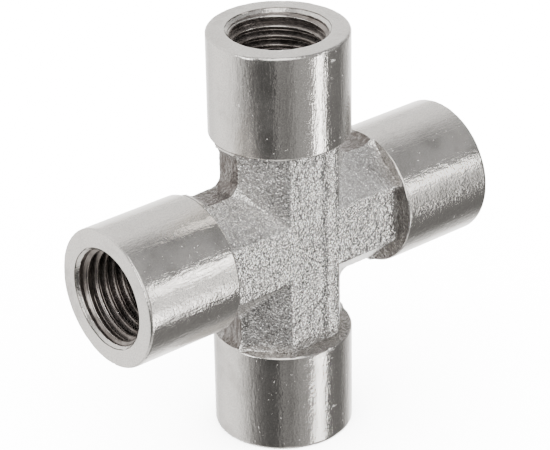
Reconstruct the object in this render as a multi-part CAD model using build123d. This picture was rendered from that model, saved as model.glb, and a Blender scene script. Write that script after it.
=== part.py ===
"""Equal cross fitting: one forged brass cross with four turned, tapped pipe sockets.

The origin is the point where the port axes cross. X runs along the horizontal ports,
Z along the vertical ports, and the plane Y = 0 is the parting plane of the forging.
All sizes are in millimetres.
"""
import os
from math import radians, tan

from build123d import *

# Overall sizes
PORT_REACH = 29.2            # port crossing to the end face of each socket
SOCKET_OD = 19.0             # turned outside diameter of a socket
SOCKET_LENGTH = 14.4         # turned length of a socket

# Pipe thread, G 1/4 parallel, 19 turns per inch
THREAD_PITCH = 25.4 / 19
THREAD_MAJOR_D = 13.157
THREAD_DEPTH = 0.640327      # depth of the 55 degree form, in pitches
THREAD_LENGTH = 11.0         # end face to the last full turn
TAP_RUNOUT = 1.8             # plain drilled wall left past the last full turn

# Mouth, drill point and flow passage
MOUTH_CLEARANCE = 0.75       # countersink diameter over the thread's major diameter
MOUTH_ANGLE = 90.0           # included angle of the countersink
DRILL_POINT_ANGLE = 118.0    # included angle of the tapping drill
PASSAGE_D = 8.5              # flow passage through the core

# Forged core
FRONT_STEP = 2.4             # how far the front face lies inside the socket's surface
SIDE_STEP = 0.7              # how far the side face lies inside the socket's surface
FRONT_FACE_W = 8.3           # flat width of an arm on the front and the back
SIDE_FACE_W = 3.8            # flat width of an arm at the parting plane
SIDE_CORNER_R = 1.6          # concave corners at the parting plane
FRONT_CORNER_R = 0.3         # concave corners at the front and the back face

# Edges
END_EDGE_R = 0.35            # rounded outer edge of a socket's end face
CUT_MARGIN = 1.0             # overrun of cutting tools

# Derived sizes
socket_r = SOCKET_OD / 2
shoulder = PORT_REACH - SOCKET_LENGTH
major_r = THREAD_MAJOR_D / 2
minor_r = major_r - THREAD_DEPTH * THREAD_PITCH
mouth_r = major_r + MOUTH_CLEARANCE / 2
passage_r = PASSAGE_D / 2
mouth_start = PORT_REACH - (mouth_r - minor_r) / tan(radians(MOUTH_ANGLE / 2))
drill_end = PORT_REACH - THREAD_LENGTH - TAP_RUNOUT
drill_tip = drill_end - (minor_r - passage_r) / tan(radians(DRILL_POINT_ANGLE / 2))
front_y = socket_r - FRONT_STEP
side_x = socket_r - SIDE_STEP

# Each port, with the turn about Y that carries +Z onto its axis
PORTS = {"top": 0.0, "right": 90.0, "bottom": 180.0, "left": 270.0}


def on_port(shape, name):
    """Turn a shape made along +Z onto the named port's axis."""
    return Rot(0, PORTS[name], 0) * shape


def revolved(points):
    """Solid of revolution about Z from a closed outline of (radius, height) points."""
    outline = Plane.XZ * make_face(Polyline(*points, close=True))
    return revolve(outline, Axis.Z)


def port_bore():
    """Cutting tool for one port: countersink, tapping bore, drill point and passage."""
    return revolved([
        (0, 0),
        (passage_r, 0),
        (passage_r, drill_tip),
        (minor_r, drill_end),
        (minor_r, mouth_start),
        (mouth_r, PORT_REACH),
        (mouth_r, PORT_REACH + CUT_MARGIN),
        (0, PORT_REACH + CUT_MARGIN),
    ])


def socket():
    """Turned socket on +Z: a cylinder with a rounded end edge and the port's bore."""
    blank = Pos(0, 0, shoulder) * Cylinder(
        socket_r, SOCKET_LENGTH, align=(Align.CENTER, Align.CENTER, Align.MIN))
    end_edge = blank.edges().filter_by(GeomType.CIRCLE).sort_by(Axis.Z)[-1]
    return fillet(end_edge, END_EDGE_R) - port_bore()


def cross_section(half_width, corner_r, y):
    """Face of the cross at depth y: four arms, filleted corners and flared arm ends."""
    reach = half_width + corner_r
    arm_end = shoulder - corner_r
    edges = []
    for turn in (0, 90, 180, 270):
        quarter = [
            Line((arm_end, -half_width), (reach, -half_width)),
            RadiusArc((reach, -half_width), (half_width, -reach), -corner_r),
            Line((half_width, -reach), (half_width, -arm_end)),
            RadiusArc((half_width, -arm_end), (reach, -shoulder), -corner_r),
            Line((reach, -shoulder), (-reach, -shoulder)),
            RadiusArc((-reach, -shoulder), (-half_width, -arm_end), -corner_r),
        ]
        edges += [Rot(0, 0, -turn) * edge for edge in quarter]
    section = Plane(origin=(0, y, 0), x_dir=(1, 0, 0), z_dir=(0, -1, 0))
    return section * make_face(edges)


def forging():
    """The cross as forged: a straight band at the parting plane, drafted to both faces."""
    half_band = SIDE_FACE_W / 2
    half_face = FRONT_FACE_W / 2
    band = extrude(cross_section(side_x, SIDE_CORNER_R, half_band), SIDE_FACE_W)
    front = loft([
        cross_section(side_x, SIDE_CORNER_R, -half_band),
        cross_section(half_face, FRONT_CORNER_R, -front_y),
    ], ruled=True)
    return band + front + mirror(front, Plane.XZ)


def turning_ring():
    """Tool that trims the flare at a +Z arm's end to the socket's turned diameter."""
    ring = Cylinder(2 * socket_r, SIDE_CORNER_R, align=(Align.CENTER, Align.CENTER, Align.MIN))
    bore = Cylinder(socket_r, SIDE_CORNER_R, align=(Align.CENTER, Align.CENTER, Align.MIN))
    return Pos(0, 0, shoulder - SIDE_CORNER_R) * (ring - bore)


def forged_core():
    """Octagonal cross between the sockets, with the flow passages through it."""
    core = forging()
    for name in PORTS:
        core -= on_port(turning_ring(), name)
        core -= on_port(port_bore(), name)
    return core


def main():
    """Write one STEP file for the core and one for each socket."""
    nodes = {"forged_core": forged_core()}
    for name in PORTS:
        nodes[f"socket_{name}"] = on_port(socket(), name)
    os.makedirs("parts", exist_ok=True)
    for name, solid in nodes.items():
        export_step(solid, f"parts/{name}.step")


main()
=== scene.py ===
"""Visual model of an equal cross fitting: a forged core, four tapped sockets and a studio.

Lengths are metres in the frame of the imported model: the port axes cross at the origin,
Z is up and the front of the forging looks towards -Y.
"""

import logging
import math
from dataclasses import dataclass, field
from enum import Enum

import bmesh
import bpy
from mathutils import Matrix, Vector, noise


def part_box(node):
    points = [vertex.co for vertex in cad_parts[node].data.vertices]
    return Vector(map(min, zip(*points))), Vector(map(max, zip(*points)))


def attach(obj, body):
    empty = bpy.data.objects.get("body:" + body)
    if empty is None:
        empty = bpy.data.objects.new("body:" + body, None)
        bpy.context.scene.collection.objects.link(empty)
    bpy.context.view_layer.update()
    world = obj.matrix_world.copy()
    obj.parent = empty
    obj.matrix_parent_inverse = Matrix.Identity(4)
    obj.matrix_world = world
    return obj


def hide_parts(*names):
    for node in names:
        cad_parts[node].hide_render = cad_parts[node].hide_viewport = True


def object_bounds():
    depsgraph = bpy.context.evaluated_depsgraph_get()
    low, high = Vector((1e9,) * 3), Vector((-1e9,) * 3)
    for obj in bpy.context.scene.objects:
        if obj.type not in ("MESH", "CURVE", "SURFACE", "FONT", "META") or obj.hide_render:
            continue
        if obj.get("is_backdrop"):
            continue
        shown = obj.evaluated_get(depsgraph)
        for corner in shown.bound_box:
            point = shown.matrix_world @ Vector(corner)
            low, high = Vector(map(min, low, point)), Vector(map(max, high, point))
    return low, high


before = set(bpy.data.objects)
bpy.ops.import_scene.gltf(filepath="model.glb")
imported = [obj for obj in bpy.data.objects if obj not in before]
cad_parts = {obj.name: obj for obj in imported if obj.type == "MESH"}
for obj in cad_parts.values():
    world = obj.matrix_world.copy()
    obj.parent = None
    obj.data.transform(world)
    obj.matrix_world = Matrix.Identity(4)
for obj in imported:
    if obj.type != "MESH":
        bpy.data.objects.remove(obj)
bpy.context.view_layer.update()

log = logging.getLogger("cross_fitting")

MM = 0.001
SHARP_ANGLE = math.radians(50.0)   # edges that fold more than this are shaded sharp
COLUMNS = 144          # columns of faces round a socket
HOLD = 1.6             # a loop this many edge widths in keeps a broken edge's shading to itself
WELD = 1e-7            # vertices closer than this are one vertex


class Port(Enum):
    """The four ports, each with the turn about Y, in degrees, that carries +Z onto it."""

    TOP = 0
    RIGHT = 90
    BOTTOM = 180
    LEFT = 270

    @property
    def node(self) -> str:
        """Name of the port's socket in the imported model."""
        return f"socket_{self.name.lower()}"

    @property
    def turn(self) -> Matrix:
        """Rotation that carries +Z onto the port's axis."""
        return Matrix.Rotation(math.radians(self.value), 4, "Y")


class Skin(Enum):
    """Surfaces of the fitting, in the order of a piece's material slots."""

    TURNED = 0
    FORGED = 1
    TAPPED = 2


def smooth_step(low: float, high: float, value: float) -> float:
    """Ease from 0 at low to 1 at high.

    Args:
        low: Value at which the result is 0.
        high: Value at which the result is 1.
        value: The value to place between them.

    Returns:
        The eased share, from 0 to 1.
    """
    share = min(max((value - low) / (high - low), 0.0), 1.0)
    return share * share * (3.0 - 2.0 * share)


# ---------------------------------------------------------------- shader helpers


@dataclass
class Graph:
    """A node tree that is written from left to right."""

    tree: bpy.types.NodeTree

    def add(self, kind: str, inputs: dict | None = None, **settings: object) -> bpy.types.Node:
        """Add a node.

        Args:
            kind: Blender's name of the node's type.
            inputs: Values or output sockets for the node's inputs, by name or number.
            settings: Properties of the node itself.

        Returns:
            The new node.
        """
        node = self.tree.nodes.new(kind)
        for name, value in settings.items():
            setattr(node, name, value)
        for key, value in (inputs or {}).items():
            self.plug(value, node.inputs[key])
        return node

    def plug(self, value: object, socket: bpy.types.NodeSocket) -> None:
        """Link an output socket to an input socket, or set the input's value.

        Args:
            value: Output socket, or the value to set.
            socket: Input socket that takes it.
        """
        if isinstance(value, bpy.types.NodeSocket):
            self.tree.links.new(value, socket)
        else:
            socket.default_value = value

    def math(self, operation: str, *values: object, clamp: bool = False) -> bpy.types.NodeSocket:
        """Add a Math node.

        Args:
            operation: The Math node's operation.
            values: Its inputs, in order.
            clamp: Whether the result is kept between 0 and 1.

        Returns:
            The node's output socket.
        """
        node = self.add("ShaderNodeMath", dict(enumerate(values)), operation=operation)
        node.use_clamp = clamp
        return node.outputs[0]

    def noise(self, vector: object, scale: float, detail: float = 2.0,
              roughness: float = 0.5, distortion: float = 0.0) -> bpy.types.NodeSocket:
        """Add a Noise Texture and return its factor.

        Args:
            vector: Output socket with the coordinates, in metres.
            scale: Features per metre.
            detail: Octaves beyond the first.
            roughness: Strength of each octave against the last.
            distortion: Warp of the pattern.

        Returns:
            The factor's output socket.
        """
        node = self.add("ShaderNodeTexNoise", {"Vector": vector, "Scale": scale, "Detail": detail,
                                               "Roughness": roughness, "Distortion": distortion})
        return node.outputs["Fac"]

    def span(self, value: object, low: float, high: float, to_low: float = 0.0,
             to_high: float = 1.0) -> bpy.types.NodeSocket:
        """Map a range onto another range, with both ends kept.

        Args:
            value: Output socket to map.
            low: Start of the range that is mapped.
            high: End of the range that is mapped.
            to_low: Result at its start.
            to_high: Result at its end.

        Returns:
            The result's output socket.
        """
        node = self.add("ShaderNodeMapRange", {"Value": value, "From Min": low, "From Max": high,
                                               "To Min": to_low, "To Max": to_high})
        node.interpolation_type = "SMOOTHSTEP"
        return node.outputs["Result"]

    def mix(self, factor: object, first: object, second: object) -> bpy.types.NodeSocket:
        """Mix two colours.

        Args:
            factor: Share of the second colour.
            first: Colour or output socket.
            second: Colour or output socket.

        Returns:
            The mixed colour's output socket.
        """
        node = self.add("ShaderNodeMix", data_type="RGBA")
        self.plug(factor, node.inputs[0])
        self.plug(first, node.inputs[6])
        self.plug(second, node.inputs[7])
        return node.outputs[2]


def new_group(name: str, inputs: dict[str, str], outputs: dict[str, str]) -> bpy.types.NodeTree:
    """Make an empty shader node group with named sockets.

    Args:
        name: Name of the group.
        inputs: Kind of each input socket, by name.
        outputs: Kind of each output socket, by name.

    Returns:
        The group's node tree.
    """
    tree = bpy.data.node_groups.new(name, "ShaderNodeTree")
    for in_out, sockets in (("INPUT", inputs), ("OUTPUT", outputs)):
        for label, kind in sockets.items():
            tree.interface.new_socket(label, in_out=in_out, socket_type=f"NodeSocket{kind}")
    return tree


def new_metal(name: str) -> tuple[bpy.types.Material, Graph, bpy.types.Node]:
    """Start a metal's material.

    Args:
        name: Name of the material.

    Returns:
        The material, the graph of its nodes, and its shader.
    """
    material = bpy.data.materials.new(name)
    material.use_nodes = True
    shader = material.node_tree.nodes["Principled BSDF"]
    shader.inputs["Metallic"].default_value = 1.0
    return material, Graph(material.node_tree), shader


@dataclass(frozen=True)
class HandlingMarks:
    """Shader group: the short scratches and small pits of parts kept loose in a bin."""

    name: str = "handling_marks"

    def build(self) -> bpy.types.NodeTree:
        """Build the group once.

        Returns:
            The group's node tree, with outputs Scratches and Pits, both masks.
        """
        if self.name in bpy.data.node_groups:
            return bpy.data.node_groups[self.name]
        tree = new_group(self.name, {"Vector": "Vector"}, {"Scratches": "Float", "Pits": "Float"})
        graph = Graph(tree)
        place = graph.add("NodeGroupInput").outputs["Vector"]
        scratches = self._scratches(graph, place)
        cells = graph.add("ShaderNodeTexVoronoi", {"Vector": place, "Scale": 700.0})
        size = graph.span(cells.outputs["Color"], 0.76, 1.0, 0.0, 0.06)
        pits = graph.math("LESS_THAN", cells.outputs["Distance"], size)
        out = graph.add("NodeGroupOutput")
        graph.plug(scratches, out.inputs["Scratches"])
        graph.plug(pits, out.inputs["Pits"])
        return tree

    @staticmethod
    def _scratches(graph: Graph, place: bpy.types.NodeSocket) -> bpy.types.NodeSocket:
        """Draw three sets of thin lines that run at different slants and break up.

        Args:
            graph: The group's nodes.
            place: Output socket with the coordinates.

        Returns:
            The output socket of the lines' mask.
        """
        masks = []
        for slant, seed in ((0.7, 0.0), (2.2, 0.31), (1.3, 0.57)):
            turned = graph.add("ShaderNodeMapping", {
                "Vector": place, "Location": (seed, seed, seed),
                "Rotation": (slant, slant * 0.6, slant * 1.7), "Scale": (260.0, 4600.0, 2400.0)})
            lines = graph.noise(turned.outputs[0], 1.0, 0.0, 0.4, 0.6)
            masks.append(graph.span(lines, 0.85, 0.88))
        return graph.math("MAXIMUM", graph.math("MAXIMUM", *masks[:2]), masks[2])


@dataclass(frozen=True)
class TurnedPlate:
    """Shader group: satin bright plate over fine tool lines, with nicks lightened as a painted
    highlight.
    """

    name: str = "turned_plate"
    colour: tuple[float, float, float, float] = (0.76, 0.735, 0.70, 1.0)
    stain: tuple[float, float, float, float] = (0.50, 0.475, 0.45, 1.0)
    # colour of the painted highlight in the nicks
    nick_highlight: tuple[float, float, float, float] = (0.93, 0.92, 0.90, 1.0)

    def build(self) -> bpy.types.NodeTree:
        """Build the group once.

        Returns:
            The group's node tree. Vector takes coordinates with Z along the socket, and Nicks
            a mask. The outputs are Color, Roughness and Height.
        """
        if self.name in bpy.data.node_groups:
            return bpy.data.node_groups[self.name]
        tree = new_group(self.name, {"Vector": "Vector", "Nicks": "Float"},
                         {"Color": "Color", "Roughness": "Float", "Height": "Float"})
        graph = Graph(tree)
        given = graph.add("NodeGroupInput").outputs
        along, nicks = given["Vector"], given["Nicks"]
        cloud = graph.noise(along, 180.0, 4.0, 0.6)
        plate = graph.mix(graph.span(cloud, 0.50, 0.78), self.colour, self.stain)
        speckle = graph.span(graph.noise(along, 5200.0, 1.0, 0.5), 0.40, 0.62)
        plate = graph.mix(graph.math("MULTIPLY", speckle, 0.35), plate, self.stain)
        # Painted highlight: the nicks are lightened towards a near white, and made rougher.
        plate = graph.mix(graph.math("MULTIPLY", nicks, 0.40), plate, self.nick_highlight)
        rough = graph.span(cloud, 0.3, 0.7, 0.11, 0.18)
        rough = graph.math("MULTIPLY_ADD", nicks, 0.22, rough, clamp=True)
        graph.add("NodeGroupOutput", {"Color": plate, "Roughness": rough,
                                      "Height": self._relief(graph, along, nicks)})
        return tree

    @staticmethod
    def _relief(graph: Graph, along: bpy.types.NodeSocket,
                nicks: bpy.types.NodeSocket) -> bpy.types.NodeSocket:
        """Add up the fine relief: tool lines, wrinkles, orange peel, dents and nicks.

        Args:
            graph: The group's nodes.
            along: Output socket with coordinates that have Z along the socket.
            nicks: Output socket of the nicks' mask.

        Returns:
            The output socket of the height, as a share of the bump's distance.
        """
        rings = graph.add("ShaderNodeMapping", {"Vector": along, "Scale": (40.0, 40.0, 5200.0)})
        tool_lines = graph.noise(rings.outputs[0], 1.0, 3.0, 0.7)
        drawn = graph.add("ShaderNodeMapping", {"Vector": along, "Scale": (2100.0, 2100.0, 420.0)})
        wrinkles = graph.noise(drawn.outputs[0], 1.0, 2.0, 0.6, 0.5)
        orange_peel = graph.noise(along, 3000.0, 2.0, 0.65)
        dents = graph.noise(along, 420.0, 2.0, 0.6)
        height = graph.math("MULTIPLY", tool_lines, 0.10)
        for layer, weight in ((wrinkles, 0.8), (orange_peel, 0.65), (dents, 0.8), (nicks, -1.0)):
            height = graph.math("MULTIPLY_ADD", layer, weight, height)
        return height


@dataclass(frozen=True)
class TurnedNickel:
    """Nickel plate over a turned surface, with its tool lines round one port axis."""

    name: str
    axis_turn: float
    relief: float = 4e-5

    def build(self) -> bpy.types.Material:
        """Build the material.

        Returns:
            The finished material.
        """
        material, graph, shader = new_metal(self.name)
        place = graph.add("ShaderNodeTexCoord").outputs["Object"]
        along = graph.add("ShaderNodeMapping", {
            "Vector": place, "Rotation": (0.0, self.axis_turn, 0.0)}).outputs[0]
        marks = graph.add("ShaderNodeGroup", node_tree=HandlingMarks().build())
        graph.plug(along, marks.inputs["Vector"])
        nicks = graph.math("MAXIMUM", marks.outputs["Scratches"], marks.outputs["Pits"])
        plate = graph.add("ShaderNodeGroup", node_tree=TurnedPlate().build())
        graph.plug(along, plate.inputs["Vector"])
        graph.plug(nicks, plate.inputs["Nicks"])
        graph.plug(plate.outputs["Color"], shader.inputs["Base Color"])
        graph.plug(plate.outputs["Roughness"], shader.inputs["Roughness"])
        bump = graph.add("ShaderNodeBump", {"Height": plate.outputs["Height"], "Strength": 1.0,
                                            "Distance": self.relief})
        graph.plug(bump.outputs["Normal"], shader.inputs["Normal"])
        return material


@dataclass(frozen=True)
class ForgedNickel:
    """Nickel plate over a shot-blasted forging: coarse, mottled and sparkling, with painted shade
    on the sides.
    """

    name: str = "forged_nickel"
    colour: tuple[float, float, float, float] = (0.67, 0.655, 0.63, 1.0)
    # hollow: a darker tone for random patches, and the painted shade in the grain's low spots
    hollow: tuple[float, float, float, float] = (0.33, 0.315, 0.30, 1.0)
    spark: tuple[float, float, float, float] = (0.96, 0.95, 0.93, 1.0)
    # colour of the painted shade that darkens the side faces and the shoulders
    scale: tuple[float, float, float, float] = (0.110, 0.096, 0.088, 1.0)

    def build(self) -> bpy.types.Material:
        """Build the material.

        Returns:
            The finished material.
        """
        material, graph, shader = new_metal(self.name)
        place = graph.add("ShaderNodeTexCoord").outputs["Object"]

        # Painted shade: faces that look across Y, the arms' narrow sides and the sockets'
        # shoulders, are darkened in streaks towards the scale colour, less on the shoulders.
        facing = graph.add("ShaderNodeSeparateXYZ", {
            0: graph.add("ShaderNodeTexCoord").outputs["Normal"]}).outputs["Y"]
        sideways_shade_mask = graph.span(graph.math("ABSOLUTE", facing), 0.55, 0.25)
        axes = graph.add("ShaderNodeSeparateXYZ", {0: place}).outputs
        reach = graph.math("MAXIMUM", graph.math("ABSOLUTE", axes["X"]),
                           graph.math("ABSOLUTE", axes["Z"]))
        painted_shade_share = graph.math("MULTIPLY", sideways_shade_mask, graph.span(reach, 0.0144, 0.0147, 0.97, 0.74))
        drawn = graph.add("ShaderNodeMapping", {"Vector": place, "Scale": (2400.0, 2400.0, 420.0)})
        streaks = graph.span(graph.noise(drawn.outputs[0], 1.0, 2.0, 0.6), 0.36, 0.62, 0.82, 1.06)
        painted_shade_share = graph.math("MULTIPLY", painted_shade_share, streaks, clamp=True)

        grain = graph.noise(place, 3900.0, 1.2, 0.5)
        blast = graph.noise(place, 2100.0, 1.0, 0.5, 0.4)
        cloud = graph.noise(place, 240.0, 4.0, 0.6)
        depth = graph.math("MULTIPLY_ADD", grain, 0.6, graph.math("MULTIPLY", blast, 0.4))

        patches = graph.span(graph.noise(place, 520.0, 3.0, 0.55), 0.44, 0.66, 0.0, 0.35)
        skin = graph.mix(patches, self.colour, self.hollow)
        # Painted shade: the grain's low spots are darkened towards the hollow colour.
        skin = graph.mix(graph.span(depth, 0.52, 0.40), skin, self.hollow)
        sparks = graph.span(graph.noise(place, 4300.0, 0.6, 0.5), 0.56, 0.62, 0.0, 1.0)
        skin = graph.mix(sparks, skin, self.spark)
        graph.plug(graph.mix(painted_shade_share, skin, self.scale), shader.inputs["Base Color"])
        graph.plug(graph.span(cloud, 0.3, 0.7, 0.19, 0.26), shader.inputs["Roughness"])

        height = graph.math("MULTIPLY_ADD", blast, 0.8, grain)
        bump = graph.add("ShaderNodeBump", {"Height": height, "Strength": 1.0,
                                            "Distance": 1.0e-4})
        graph.plug(bump.outputs["Normal"], shader.inputs["Normal"])
        return material


@dataclass(frozen=True)
class TappedNickel:
    """The inside of a tapped bore: painted shade, dark between the crests."""

    name: str = "tapped_nickel"
    # colour and shade: the painted shade of the bore and the passage, mottled between the two
    colour: tuple[float, float, float, float] = (0.25, 0.225, 0.21, 1.0)
    shade: tuple[float, float, float, float] = (0.13, 0.115, 0.105, 1.0)

    def build(self) -> bpy.types.Material:
        """Build the material.

        Returns:
            The finished material.
        """
        material, graph, shader = new_metal(self.name)
        place = graph.add("ShaderNodeTexCoord").outputs["Object"]
        cloud = graph.noise(place, 420.0, 4.0, 0.6)
        grit = graph.noise(place, 2800.0, 3.0, 0.6)
        graph.plug(graph.mix(graph.span(cloud, 0.35, 0.7), self.colour, self.shade),
                   shader.inputs["Base Color"])
        graph.plug(graph.span(grit, 0.3, 0.7, 0.18, 0.26), shader.inputs["Roughness"])
        bump = graph.add("ShaderNodeBump", {"Height": grit, "Strength": 0.5, "Distance": 4e-6})
        graph.plug(bump.outputs["Normal"], shader.inputs["Normal"])
        return material


# ---------------------------------------------------------------- the forged skin


@dataclass(frozen=True)
class ForgedSkin:
    """Relief of the forged surface, as a height over the true shape at any point."""

    swell: float = 0.045 * MM
    swell_size: float = 3.2 * MM
    pebble: float = 0.050 * MM
    pebble_size: float = 0.75 * MM
    grit: float = 0.030 * MM
    grit_size: float = 0.36 * MM
    mark_depth_from: float = 6.6 * MM
    ragged: float = 0.5 * MM
    ragged_size: float = 2.2 * MM
    bands: tuple[tuple[float, float, float], ...] = (
        (1.1 * MM, 0.035 * MM, 0.35 * MM), (2.3 * MM, -0.080 * MM, 0.60 * MM),
        (3.3 * MM, 0.030 * MM, 0.35 * MM))
    lap: tuple[tuple[float, float], tuple[float, float]] = (
        (1.6 * MM, -8.2 * MM), (-0.6 * MM, -10.5 * MM))
    lap_depth: float = 0.26 * MM
    lap_width: float = 0.24 * MM

    def height(self, place: Vector) -> float:
        """Height of the skin over the true shape.

        Args:
            place: Point on the fitting, in metres.

        Returns:
            The height in metres, below zero in a hollow.
        """
        return (self.swell * noise.noise(place / self.swell_size)
                + self.pebble * noise.noise(place / self.pebble_size)
                + self.grit * noise.noise(place / self.grit_size)
                + self._die_marks(place))

    def _die_marks(self, place: Vector) -> float:
        """Press long shallow bands down one side of the upright faces, and one short lap.

        Args:
            place: Point on the fitting, in metres.

        Returns:
            The height in metres, below zero in a hollow.
        """
        if abs(place.y) < self.mark_depth_from:
            return 0.0
        ragged = self.ragged * noise.noise(Vector((3.0, 0.0, place.z / self.ragged_size)))
        across = place.x + ragged
        bands = sum(rise * math.exp(-((across - spot) / width) ** 2)
                    for spot, rise, width in self.bands)
        start, end = (Vector(spot) for spot in self.lap)
        line = end - start
        spot = Vector((place.x, place.z)) - start
        share = min(max(spot.dot(line) / line.length_squared, 0.0), 1.0)
        aside = (spot - line * share).length
        if place.y < 0.0:
            bands -= self.lap_depth * math.exp(-(aside / self.lap_width) ** 2)
        return bands


# ---------------------------------------------------------------- sockets


@dataclass(frozen=True)
class PipeThread:
    """Female parallel pipe thread, 19 turns per inch, with the 55 degree rounded form."""

    pitch: float = 25.4 * MM / 19
    major_radius: float = 13.157 * MM / 2
    depth_in_pitches: float = 0.640327
    rounding_in_pitches: float = 0.137329
    flank_angle: float = math.radians(27.5)
    length: float = 11.0 * MM
    runout: float = 1.8 * MM
    rows: int = 24

    @property
    def depth(self) -> float:
        """Radial depth from crest to root."""
        return self.depth_in_pitches * self.pitch

    @property
    def minor_radius(self) -> float:
        """Radius of the crests, which is that of the tapping bore."""
        return self.major_radius - self.depth

    def radius(self, turn_share: float) -> float:
        """Radius of the thread form.

        Args:
            turn_share: Place along one pitch, from 0 to 1, with the crest at 0.5.

        Returns:
            The radius there, in metres.
        """
        from_crest = abs(turn_share - 0.5) * self.pitch
        below_root = self.pitch / 2 - from_crest
        if from_crest < below_root:
            return self.minor_radius + self._rise(from_crest)
        return self.major_radius - self._rise(below_root)

    def _rise(self, aside: float) -> float:
        """Height of the form over a crest or a root.

        Args:
            aside: Distance from the middle of the crest or root, along the axis.

        Returns:
            The height, measured radially.
        """
        rounding = self.rounding_in_pitches * self.pitch
        flank_start = rounding * math.cos(self.flank_angle)
        if aside < flank_start:
            return rounding - math.sqrt(rounding ** 2 - aside ** 2)
        straight = (aside - flank_start) / math.tan(self.flank_angle)
        return rounding * (1.0 - math.sin(self.flank_angle)) + straight


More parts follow.
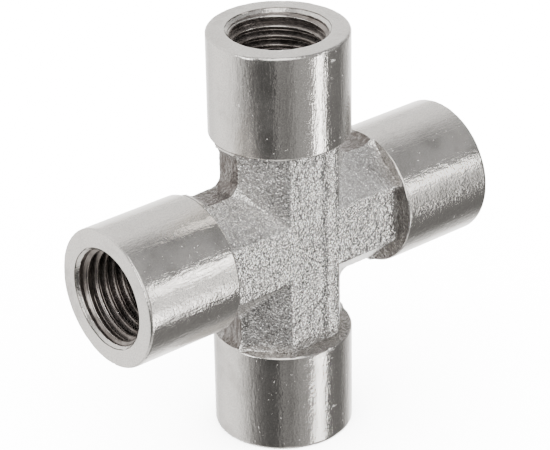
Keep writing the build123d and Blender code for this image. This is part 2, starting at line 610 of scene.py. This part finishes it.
@dataclass
class Socket:
    """One turned socket: outside, end ring, countersink, thread, drill point and shoulder."""

    port: Port
    radius: float
    reach: float
    shoulder: float
    thread_turn: float
    thread: PipeThread = field(default_factory=PipeThread)
    skin: ForgedSkin = field(default_factory=ForgedSkin)
    mouth_clearance: float = 0.75 * MM
    passage_radius: float = 4.25 * MM
    drill_slope: float = math.tan(math.radians(59.0))
    lead_in: float = 0.60 * MM
    lead_in_slope: float = math.tan(math.radians(12.0))
    crest_glint: float = 0.035 * MM
    end_edge: float = 0.35 * MM
    mouth_edge: float = 0.16 * MM
    back_edge: float = 0.14 * MM
    rim_dent: float = 0.05 * MM
    burr: float = 0.09 * MM
    shoulder_rows: int = 22

    @property
    def mouth_radius(self) -> float:
        """Radius of the countersink at the end face."""
        return self.thread.major_radius + self.mouth_clearance / 2

    @property
    def mouth_start(self) -> float:
        """Height at which the countersink's cone starts, below its sharp edge."""
        return self.reach - self.mouth_edge

    @property
    def drill_end(self) -> float:
        """Height at which the full tapping bore stops."""
        return self.reach - self.thread.length - self.thread.runout

    def build(self) -> bpy.types.Object:
        """Build the socket's mesh on its port's axis.

        Returns:
            The socket's object.
        """
        mesh = bmesh.new()
        self._spin(mesh, self._outside(), Skin.TURNED)
        self._spin(mesh, self._shoulder_ring(), Skin.FORGED)
        # The mouth's short wall and the drill point take the tapped finish, which is painted shade.
        self._spin(mesh, self._mouth_wall(), Skin.TAPPED)
        self._spin(mesh, self._drill_point(), Skin.TAPPED)
        self._cut_thread(mesh)
        bmesh.ops.remove_doubles(mesh, verts=mesh.verts, dist=WELD)
        bmesh.ops.dissolve_degenerate(mesh, edges=mesh.edges, dist=WELD)
        bmesh.ops.recalc_face_normals(mesh, faces=mesh.faces)
        bmesh.ops.transform(mesh, matrix=self.port.turn, verts=mesh.verts)
        self._knock_rim(mesh)
        self._roughen_shoulder(mesh)
        return finish_piece(mesh, f"{self.port.node}_tapped", self.port.node)

    def _outside(self) -> list[tuple[float, float]]:
        """Outline of the turned outside, from the shoulder to the mouth's wall.

        Returns:
            Points as (radius, height).
        """
        edge = self.end_edge
        outline = [(self.radius - self.back_edge, self.shoulder),
                   (self.radius - 0.3 * self.back_edge, self.shoulder + 0.3 * self.back_edge),
                   (self.radius, self.shoulder + self.back_edge),
                   (self.radius, self.shoulder + HOLD * self.back_edge)]
        for step in range(7):
            angle = math.radians(15.0 * step)
            outline.append((self.radius - edge * (1.0 - math.cos(angle)),
                            self.reach - edge * (1.0 - math.sin(angle))))
        outline.insert(4, (self.radius, self.reach - HOLD * edge))
        outline.append((self.radius - HOLD * edge, self.reach))
        outline.append((self.mouth_radius + 0.8 * self.mouth_edge, self.reach))
        outline.append((self.mouth_radius + 0.2 * self.mouth_edge, self.reach))
        return outline

    def _mouth_wall(self) -> list[tuple[float, float]]:
        """Outline of the short wall between the end face and the countersink.

        Returns:
            Points as (radius, height).
        """
        return [(self.mouth_radius + 0.2 * self.mouth_edge, self.reach),
                (self.mouth_radius, self.reach - 0.2 * self.mouth_edge),
                (self.mouth_radius, self.mouth_start)]

    def _shoulder_ring(self) -> list[tuple[float, float]]:
        """Outline of the shoulder, from the passage out to the turned outside.

        Returns:
            Points as (radius, height).
        """
        width = self.radius - self.back_edge - self.passage_radius
        return [(self.passage_radius + width * row / self.shoulder_rows, self.shoulder)
                for row in range(self.shoulder_rows + 1)]

    def _drill_point(self) -> list[tuple[float, float]]:
        """Outline of the passage and of the drill point up to the tapping bore.

        Returns:
            Points as (radius, height).
        """
        minor = self.thread.minor_radius
        tip = self.drill_end - (minor - self.passage_radius) / self.drill_slope
        return [(self.passage_radius, self.shoulder), (self.passage_radius, tip),
                (minor, self.drill_end)]

    @staticmethod
    def _spin(mesh: bmesh.types.BMesh, outline: list[tuple[float, float]], skin: Skin) -> None:
        """Turn an outline of (radius, height) points about Z.

        Args:
            mesh: Mesh that takes the new faces.
            outline: The points, in order.
            skin: Surface of the new faces.
        """
        dots = [mesh.verts.new((radius, 0.0, height)) for radius, height in outline]
        lines = [mesh.edges.new(pair) for pair in zip(dots, dots[1:])]
        before = set(mesh.faces)
        bmesh.ops.spin(mesh, geom=dots + lines, cent=(0, 0, 0), axis=(0, 0, 1),
                       angle=2 * math.pi, steps=COLUMNS, use_merge=True)
        for face in set(mesh.faces) - before:
            face.material_index = skin.value
            face.smooth = True

    def _cut_thread(self, mesh: bmesh.types.BMesh) -> None:
        """Wind the thread form up the bore and trim it to the countersink and the bore.

        Args:
            mesh: Mesh that takes the new faces.
        """
        thread = self.thread
        start = self.drill_end - thread.pitch * (1.0 + self.thread_turn)
        dots = [mesh.verts.new((thread.radius(row / thread.rows), 0.0,
                                start + thread.pitch * row / thread.rows))
                for row in range(thread.rows + 1)]
        lines = [mesh.edges.new(pair) for pair in zip(dots, dots[1:])]
        before = set(mesh.faces)
        rise = Vector((0.0, 0.0, thread.pitch / COLUMNS))
        bmesh.ops.spin(mesh, geom=dots + lines, cent=(0, 0, 0), axis=(0, 0, 1), dvec=rise,
                       angle=2 * math.pi, steps=COLUMNS)
        turn = list(set(mesh.faces) - before)
        for winding in range(1, math.ceil((self.reach - start) / thread.pitch) + 1):
            copy = bmesh.ops.duplicate(mesh, geom=turn)
            verts = [item for item in copy["geom"] if isinstance(item, bmesh.types.BMVert)]
            bmesh.ops.translate(mesh, verts=verts, vec=rise * COLUMNS * winding)
        faces = set(mesh.faces) - before
        # Crest faces within the thread take the bright turned finish as a painted glint, and the
        # countersink's cone the turned finish it really has; the rest takes the tapped finish, as
        # painted shade.
        crests = {face for face in faces if thread.minor_radius + self.crest_glint
                  > max(vert.co.xy.length for vert in face.verts)}
        for vert in {vert for face in faces for vert in face.verts}:
            self._trim(vert)
        for face in faces:
            in_cone = min(vert.co.xy.length for vert in face.verts) > thread.major_radius + WELD
            in_thread = min(vert.co.z for vert in face.verts) > self.reach - thread.length
            bright = in_cone or (in_thread and face in crests)
            face.material_index = (Skin.TURNED if bright else Skin.TAPPED).value
            face.smooth = True

    def _trim(self, vert: bmesh.types.BMVert) -> None:
        """Fade the thread out at its end, and open its crests towards the countersink.

        Args:
            vert: Vertex of the thread, which is moved.
        """
        thread = self.thread
        height = min(max(vert.co.z, self.drill_end), self.mouth_start)
        full_end = self.reach - thread.length
        share = smooth_step(full_end - thread.pitch, full_end, vert.co.z)
        radius = thread.minor_radius + (vert.co.xy.length - thread.minor_radius) * share
        depth = self.mouth_start - height
        opening = max(self.lead_in - depth * self.lead_in_slope, 0.0)
        radius = max(min(radius + opening, thread.major_radius), self.mouth_radius - depth)
        vert.co.xy = vert.co.xy.normalized() * radius
        vert.co.z = height

    def _knock_rim(self, mesh: bmesh.types.BMesh) -> None:
        """Knock small dents into the outer rim and the mouth's rim of the end face.

        Args:
            mesh: The socket's mesh, on its port's axis.
        """
        axis = self.port.turn @ Vector((0.0, 0.0, 1.0))
        for vert in mesh.verts:
            along = vert.co.dot(axis)
            out = vert.co - along * axis
            dent = noise.noise(vert.co / (0.8 * MM)) + 0.6 * noise.noise(vert.co / (0.4 * MM))
            if along > self.reach - self.end_edge and out.length > self.radius - self.end_edge:
                vert.co -= (out.normalized() + axis) * self.rim_dent * max(dent, 0.0)
            elif along > self.mouth_start - WELD and out.length < self.mouth_radius + MM:
                vert.co += out.normalized() * self.rim_dent * max(dent, -0.5)

    def _roughen_shoulder(self, mesh: bmesh.types.BMesh) -> None:
        """Give the shoulder its forged skin, and its outer edge a fine uneven burr.

        Args:
            mesh: The socket's mesh, on its port's axis.
        """
        axis = self.port.turn @ Vector((0.0, 0.0, 1.0))
        for vert in mesh.verts:
            along = vert.co.dot(axis)
            if abs(along - self.shoulder) > WELD:
                continue
            out = vert.co - along * axis
            inner = self.passage_radius + 0.4 * MM
            share = smooth_step(inner, inner + 0.6 * MM, out.length)
            vert.co += axis * self.skin.height(vert.co) * share
            if out.length > self.radius - self.back_edge - WELD:
                ragged = 0.5 + noise.noise(vert.co / (0.9 * MM))
                vert.co += (out.normalized() * 0.35 - axis) * self.burr * max(ragged, 0.0)


# ---------------------------------------------------------------- the forged core


@dataclass
class ForgedCore:
    """The forged middle: octagonal arms that cross, flared to the sockets' shoulders."""

    front: float
    shoulder: float
    socket_radius: float
    side: float = 8.8 * MM
    front_half: float = 4.15 * MM
    band_half: float = 1.9 * MM
    corner_radius: float = 1.6 * MM
    edge_radius: float = 0.30 * MM
    passage_radius: float = 4.25 * MM
    skin: ForgedSkin = field(default_factory=ForgedSkin)
    flats: tuple[int, int, int] = (20, 28, 8)
    edge_cells: int = 5
    arm_cells: int = 84
    passage_cells: int = 5

    def build(self) -> bpy.types.Object:
        """Build the core's mesh: one sixteenth, mirrored, then given its forged skin.

        Returns:
            The core's object.
        """
        mesh = bmesh.new()
        self._shape_sixteenth(mesh)
        swap = Matrix(((0, 0, 1, 0), (0, 1, 0, 0), (1, 0, 0, 0), (0, 0, 0, 1)))
        flips = [swap] + [Matrix.Scale(-1.0, 4, axis) for axis in ((0, 1, 0), (1, 0, 0), (0, 0, 1))]
        for flip in flips:
            copy = bmesh.ops.duplicate(mesh, geom=mesh.verts[:] + mesh.edges[:] + mesh.faces[:])
            verts = [item for item in copy["geom"] if isinstance(item, bmesh.types.BMVert)]
            bmesh.ops.transform(mesh, matrix=flip, verts=verts)
        bmesh.ops.remove_doubles(mesh, verts=mesh.verts, dist=WELD)
        bmesh.ops.recalc_face_normals(mesh, faces=mesh.faces)
        self._roughen(mesh)
        return finish_piece(mesh, "forged_core_cross", "forged_core")

    def _outline(self) -> list[Vector]:
        """Quarter outline of an arm, with rounded edges.

        Returns:
            Points as (depth, half width), from the front's middle to the side's.
        """
        corners = [Vector((-self.front, 0.0)), Vector((-self.front, self.front_half)),
                   Vector((-self.band_half, self.side)), Vector((0.0, self.side))]
        path = [corners[0]]
        for before, corner, after, cells in zip(corners, corners[1:], corners[2:], self.flats):
            start = corner + (before - corner).normalized() * self.edge_radius
            end = corner + (after - corner).normalized() * self.edge_radius
            from_here = path[-1]
            path += [from_here.lerp(start, cell / cells) for cell in range(1, cells + 1)]
            for step in range(1, self.edge_cells + 1):
                share = step / self.edge_cells
                path.append(start.lerp(corner, share).lerp(corner.lerp(end, share), share))
        from_here = path[-1]
        cells = self.flats[-1]
        path += [from_here.lerp(corners[-1], cell / cells) for cell in range(1, cells + 1)]
        return path

    def _shape_sixteenth(self, mesh: bmesh.types.BMesh) -> None:
        """Bend a grid over one sixteenth: outside, end face and inside of half an arm.

        Args:
            mesh: Empty mesh that takes the faces.
        """
        outline = self._outline()
        cells = len(outline) - 1
        rows = self.arm_cells + 1 + self.passage_cells
        bmesh.ops.create_grid(mesh, x_segments=cells, y_segments=rows, size=0.5)
        for vert in mesh.verts:
            cell = round((vert.co.x + 0.5) * cells)
            row = round((vert.co.y + 0.5) * rows)
            if row <= self.arm_cells:
                vert.co = self._outside_point(*outline[cell], row / self.arm_cells)
            else:
                share = (row - self.arm_cells - 1) / self.passage_cells
                vert.co = self._passage_point(outline[cell], share)

    def _outside_point(self, depth: float, half_width: float, share: float) -> Vector:
        """Point on the outside of the +X arm.

        Args:
            depth: The outline point's Y.
            half_width: The outline point's Z.
            share: Place along the arm, 0 at the crease with the next arm, 1 at the socket.

        Returns:
            The point.
        """
        slope = (self.front + depth) / (self.front - self.band_half)
        slope = min(max(slope, 0.0), 1.0)
        corner = self.corner_radius * slope ** 4
        flare = self.corner_radius * slope ** 10
        crease = half_width + corner * (1.0 - math.sqrt(0.5))
        along = crease + (self.shoulder - crease) * share
        width = half_width
        if along < half_width + corner:
            width += corner - math.sqrt(corner ** 2 - (half_width + corner - along) ** 2)
        into_flare = along - (self.shoulder - flare)
        if into_flare > 0.0 and flare > 0.0:
            width += flare - math.sqrt(max(flare ** 2 - into_flare ** 2, 0.0))
            limit = math.sqrt(self.socket_radius ** 2 - depth ** 2)
            width = min(width, limit)
        return Vector((along, depth, width))

    def _passage_point(self, outside: Vector, share: float) -> Vector:
        """Point on the wall of the horizontal passage.

        Args:
            outside: The outline's point, which gives the place round the passage.
            share: Place along the passage, 0 at the socket, 1 at the crossing.

        Returns:
            The point.
        """
        around = Vector(outside).normalized() * self.passage_radius
        along = self.shoulder + (around.y - self.shoulder) * share
        return Vector((along, around.x, around.y))

    def _roughen(self, mesh: bmesh.types.BMesh) -> None:
        """Raise the forged skin, and sort the faces into forged, turned and drilled.

        Args:
            mesh: The whole core's mesh.
        """
        mesh.normal_update()
        moves = []
        for vert in mesh.verts:
            share = self._skin_share(vert.co)
            moves.append(vert.normal * self.skin.height(vert.co) * share)
        for face in mesh.faces:
            face.smooth = True
            face.material_index = self._face_skin(face).value
        for vert, move in zip(mesh.verts, moves):
            vert.co += move

    def _skin_share(self, place: Vector) -> float:
        """How much of the forged relief a point takes: none where it is cut metal.

        Args:
            place: Point on the core.

        Returns:
            The share, from 0 to 1.
        """
        reach = max(abs(place.x), abs(place.z))
        off_axis = math.hypot(place.y, min(abs(place.x), abs(place.z)))
        if off_axis < self.passage_radius + WELD:
            return 0.0
        near_socket = smooth_step(0.0, 0.25 * MM, self.shoulder - reach)
        near_turned = smooth_step(0.0, 0.10 * MM, self.socket_radius - off_axis)
        return near_socket * near_turned

    def _face_skin(self, face: bmesh.types.BMFace) -> Skin:
        """Surface of a face, from where its corners lie.

        Args:
            face: Face of the core, before the skin is raised.

        Returns:
            The surface.
        """
        off_axis = [math.hypot(vert.co.y, min(abs(vert.co.x), abs(vert.co.z)))
                    for vert in face.verts]
        if min(off_axis) > self.socket_radius - WELD:
            return Skin.TURNED
        # The passage takes the tapped finish, which is painted shade.
        if max(off_axis) < self.passage_radius + WELD:
            return Skin.TAPPED
        return Skin.FORGED


# ---------------------------------------------------------------- pieces and finishes


def finish_piece(mesh: bmesh.types.BMesh, name: str, node: str) -> bpy.types.Object:
    """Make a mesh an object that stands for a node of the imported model.

    Args:
        mesh: The finished mesh, which is freed.
        name: Name of the piece.
        node: Node that it replaces.

    Returns:
        The new object.
    """
    data = bpy.data.meshes.new(name)
    mesh.to_mesh(data)
    mesh.free()
    data.set_sharp_from_angle(angle=SHARP_ANGLE)
    piece = bpy.data.objects.new(name, data)
    bpy.context.scene.collection.objects.link(piece)
    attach(piece, "root")
    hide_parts(node)
    log.info("%s: %d faces", name, len(data.polygons))
    return piece


@dataclass
class CrossFitting:
    """The whole fitting: its pieces and the finishes on them."""

    radius: float
    reach: float
    shoulder: float
    front: float
    thread_turns: dict[Port, float] = field(default_factory=lambda: {
        Port.TOP: -0.22, Port.RIGHT: 0.40, Port.BOTTOM: 0.15, Port.LEFT: 0.30})

    @classmethod
    def from_frame(cls) -> "CrossFitting":
        """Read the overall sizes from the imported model.

        Returns:
            The fitting, not yet built.
        """
        socket_low, socket_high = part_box(Port.TOP.node)
        core_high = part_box("forged_core")[1]
        return cls(radius=socket_high[0], reach=socket_high[2], shoulder=socket_low[2],
                   front=core_high[1])

    def build(self) -> None:
        """Build and dress every piece."""
        forged = ForgedNickel().build()
        tapped = TappedNickel().build()
        turned = {
            0: TurnedNickel("turned_nickel_upright", 0.0).build(),
            90: TurnedNickel("turned_nickel_level", math.pi / 2).build(),
        }
        core = ForgedCore(self.front, self.shoulder, self.radius).build()
        self._dress(core, [turned[0], forged, tapped])
        for port in Port:
            socket = Socket(port, self.radius, self.reach, self.shoulder,
                            self.thread_turns[port]).build()
            self._dress(socket, [turned[port.value % 180], forged, tapped])

    @staticmethod
    def _dress(piece: bpy.types.Object, materials: list[bpy.types.Material]) -> None:
        """Give a piece its materials, in the order of Skin."""
        for material in materials:
            piece.data.materials.append(material)


# ---------------------------------------------------------------- studio


@dataclass(frozen=True)
class Camera:
    """The camera, as an orbit about the fitting."""

    azimuth: float = math.radians(-39.42)
    elevation: float = math.radians(27.88)
    roll: float = math.radians(-0.972)
    distance: float = 0.34123
    shift_right: float = -0.00082
    shift_up: float = 0.00042
    lens: float = 166.2
    sensor: float = 36.0

    def build(self) -> None:
        """Place the camera and make it the scene's own."""
        level = math.cos(self.elevation)
        back = Vector((math.sin(self.azimuth) * level, -math.cos(self.azimuth) * level,
                       math.sin(self.elevation)))
        right = Vector((0.0, 0.0, 1.0)).cross(back).normalized()
        up = back.cross(right)
        turn = Matrix.Rotation(self.roll, 3, back)
        right = turn @ right
        up = turn @ up
        place = back * self.distance + right * self.shift_right + up * self.shift_up
        data = bpy.data.cameras.new("camera")
        data.lens = self.lens
        data.sensor_width = self.sensor
        camera = bpy.data.objects.new("camera", data)
        axes = Matrix((right, up, back)).transposed().to_4x4()
        camera.matrix_world = Matrix.Translation(place) @ axes
        bpy.context.scene.collection.objects.link(camera)
        bpy.context.scene.camera = camera


@dataclass(frozen=True)
class Studio:
    """An even white sweep, a pale floor, and the room that shows in the metal.

    The room has darker walls, a tall strip light and a small lamp. Its heights are sines of
    the elevation.
    """

    sweep: float = 18.0
    floor_colour: tuple[float, float, float, float] = (0.93, 0.93, 0.93, 1.0)
    floor_size: float = 3.0
    # brightness of the room at eye level and below, by azimuth from -Y towards +X in degrees
    low_room: tuple[tuple[float, float], ...] = (
        (-180, 1.5), (-155, 1.9), (-122, 1.7), (-107, 0.95), (-96, 0.45), (-84, 0.20),
        (-68, 0.09), (-47, 0.09), (-40, 0.34), (-33, 0.18), (-24, 0.24), (-10, 0.42),
        (14, 0.46), (40, 0.24), (54, 0.20), (76, 0.19), (90, 0.60), (104, 1.3), (124, 4.0),
        (155, 3.2), (172, 1.5))
    # the same well above eye level
    high_room: tuple[tuple[float, float], ...] = (
        (-180, 1.5), (-112, 1.1), (-86, 0.30), (-70, 0.35), (-56, 2.9), (-20, 2.9), (4, 0.3),
        (36, 0.15), (75, 0.13), (104, 0.44), (130, 1.2), (180, 1.4))
    # the same for the table, steeply below
    table: tuple[tuple[float, float], ...] = (
        (-180, 1.5), (-20, 1.3), (12, 0.8), (40, 0.30), (66, 0.24), (82, 0.5), (100, 1.0),
        (125, 2.4), (160, 2.2), (180, 1.5))
    # brightness of the strip light by height, as the sine of the elevation in percent
    strip: tuple[tuple[float, float], ...] = (
        (-66, 0.0), (-57, 11.0), (-42, 11.0), (-24, 1.8), (10, 1.5), (22, 8.0), (31, 8.0),
        (37, 0.0))
    # its sides, as azimuths at eye level, and how far it leans over from the table up
    strip_edges: tuple[float, float] = (27.5, 37.0)
    strip_lean: float = 9.0
    foot_lean: float = 110.0
    # a small lamp at the left: its direction and brightness
    lamp: tuple[float, float, float] = (-1.0, 0.03, 0.0)
    lamp_light: float = 7.0
    ceiling: float = 0.45
    # heights between which one part of the room gives way to the next
    high_blend: tuple[float, float] = (-0.20, 0.35)
    table_blend: tuple[float, float] = (-0.66, -0.88)
    ceiling_blend: tuple[float, float] = (0.91, 0.97)
    # height below which the strip leans by foot_lean, and the blur of the strip's sides as a
    # share of a full turn
    foot_top: float = -0.49
    strip_blur: float = 0.006
    # cosines of the angle from the lamp's middle at which it starts and is full
    lamp_blend: tuple[float, float] = (0.970, 0.992)

    def build(self) -> None:
        """Build the floor and the world."""
        self._floor()
        self._world()

    def _floor(self) -> None:
        """Lay a plain pale floor under the fitting."""
        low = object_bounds()[0][2]
        mesh = bmesh.new()
        bmesh.ops.create_grid(mesh, x_segments=2, y_segments=2, size=self.floor_size / 2)
        bmesh.ops.translate(mesh, verts=mesh.verts, vec=(0.0, 0.0, low))
        data = bpy.data.meshes.new("floor")
        mesh.to_mesh(data)
        mesh.free()
        floor = bpy.data.objects.new("floor", data)
        bpy.context.scene.collection.objects.link(floor)
        floor.visible_glossy = False
        material = bpy.data.materials.new("pale_floor")
        material.use_nodes = True
        shader = material.node_tree.nodes["Principled BSDF"]
        shader.inputs["Base Color"].default_value = self.floor_colour
        shader.inputs["Roughness"].default_value = 0.9
        shader.inputs["Specular IOR Level"].default_value = 0.0
        data.materials.append(material)
        floor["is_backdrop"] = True

    def _world(self) -> None:
        """Light the scene evenly, and show the studio in the metal's reflections."""
        world = bpy.data.worlds.new("studio")
        world.use_nodes = True
        world.node_tree.nodes.clear()
        bpy.context.scene.world = world
        graph = Graph(world.node_tree)
        way = graph.add("ShaderNodeTexCoord").outputs["Generated"]
        axes = graph.add("ShaderNodeSeparateXYZ", {0: way}).outputs
        azimuth = graph.math("ARCTAN2", axes["X"], graph.math("MULTIPLY", axes["Y"], -1.0))
        share = graph.math("MULTIPLY_ADD", azimuth, 0.5 / math.pi, 0.5)
        room = self._walls(graph, share, axes["Z"])
        for light in (self._strip(graph, share, axes["Z"]), self._lamp(graph, way)):
            room = graph.add("ShaderNodeVectorMath", {0: room, 1: light},
                             operation="ADD").outputs[0]
        glossy = graph.add("ShaderNodeLightPath").outputs["Is Glossy Ray"]
        sweep = (self.sweep, self.sweep, self.sweep, 1.0)
        light = graph.add("ShaderNodeBackground", {"Color": graph.mix(glossy, sweep, room)})
        graph.add("ShaderNodeOutputWorld", {"Surface": light.outputs[0]})

    def _walls(self, graph: Graph, share: bpy.types.NodeSocket,
               height: bpy.types.NodeSocket) -> bpy.types.NodeSocket:
        """Brightness of the walls, the table and the ceiling.

        Args:
            graph: The world's nodes.
            share: Output socket of the azimuth, as a share of a full turn.
            height: Output socket of the height.

        Returns:
            The colour's output socket.
        """
        low, high, table = (self._ramp(graph, share, stops, 360.0)
                            for stops in (self.low_room, self.high_room, self.table))
        room = graph.mix(graph.span(height, *self.high_blend), low, high)
        room = graph.mix(graph.span(height, *self.table_blend), room, table)
        return graph.mix(graph.span(height, *self.ceiling_blend), room,
                         (self.ceiling, self.ceiling, self.ceiling, 1.0))

    def _strip(self, graph: Graph, share: bpy.types.NodeSocket,
               height: bpy.types.NodeSocket) -> bpy.types.NodeSocket:
        """Brightness of the leaning strip light.

        Args:
            graph: The world's nodes.
            share: Output socket of the azimuth, as a share of a full turn.
            height: Output socket of the height.

        Returns:
            The colour's output socket.
        """
        strip = self._ramp(graph, graph.math("MULTIPLY_ADD", height, 0.5, 0.5), self.strip, 200.0)
        first, last = (degrees / 360 + 0.5 for degrees in self.strip_edges)
        blur = self.strip_blur
        leaning = graph.math("MULTIPLY_ADD", height, -self.strip_lean / 360, share)
        foot = graph.math("MAXIMUM", graph.math("SUBTRACT", self.foot_top, height), 0.0)
        leaning = graph.math("MULTIPLY_ADD", foot, self.foot_lean / 360, leaning)
        window = graph.math("MULTIPLY", graph.span(leaning, first - blur, first + blur),
                            graph.span(leaning, last + blur, last - blur))
        return graph.mix(window, (0.0, 0.0, 0.0, 1.0), strip)

    def _lamp(self, graph: Graph, way: bpy.types.NodeSocket) -> bpy.types.NodeSocket:
        """Brightness of the small lamp.

        Args:
            graph: The world's nodes.
            way: Output socket of the direction.

        Returns:
            The brightness's output socket.
        """
        near = graph.add("ShaderNodeVectorMath", {0: way, 1: self.lamp}, operation="DOT_PRODUCT")
        return graph.span(near.outputs["Value"], *self.lamp_blend, 0.0, self.lamp_light)

    @staticmethod
    def _ramp(graph: Graph, share: bpy.types.NodeSocket, stops: tuple[tuple[float, float], ...],
              width: float) -> bpy.types.NodeSocket:
        """Brightness along a ramp that is centred on zero.

        Args:
            graph: The world's nodes.
            share: Place along the ramp, from 0 to 1.
            stops: Pairs of place and brightness, with the place in the ramp's own units.
            width: Length of the ramp in those units.

        Returns:
            The colour's output socket.
        """
        node = graph.add("ShaderNodeValToRGB", {"Fac": share})
        ramp = node.color_ramp
        while len(ramp.elements) < len(stops):
            ramp.elements.new(1.0)
        for element, (place, value) in zip(ramp.elements, stops):
            element.position = place / width + 0.5
            element.color = (value, 0.985 * value, 0.965 * value, 1.0)
        return node.outputs["Color"]


def main() -> None:
    """Build the fitting, the studio and the camera; each piece logs its face count."""
    logging.basicConfig(level=logging.INFO)
    CrossFitting.from_frame().build()
    Studio().build()
    Camera().build()


if __name__ == "__main__":
    main()
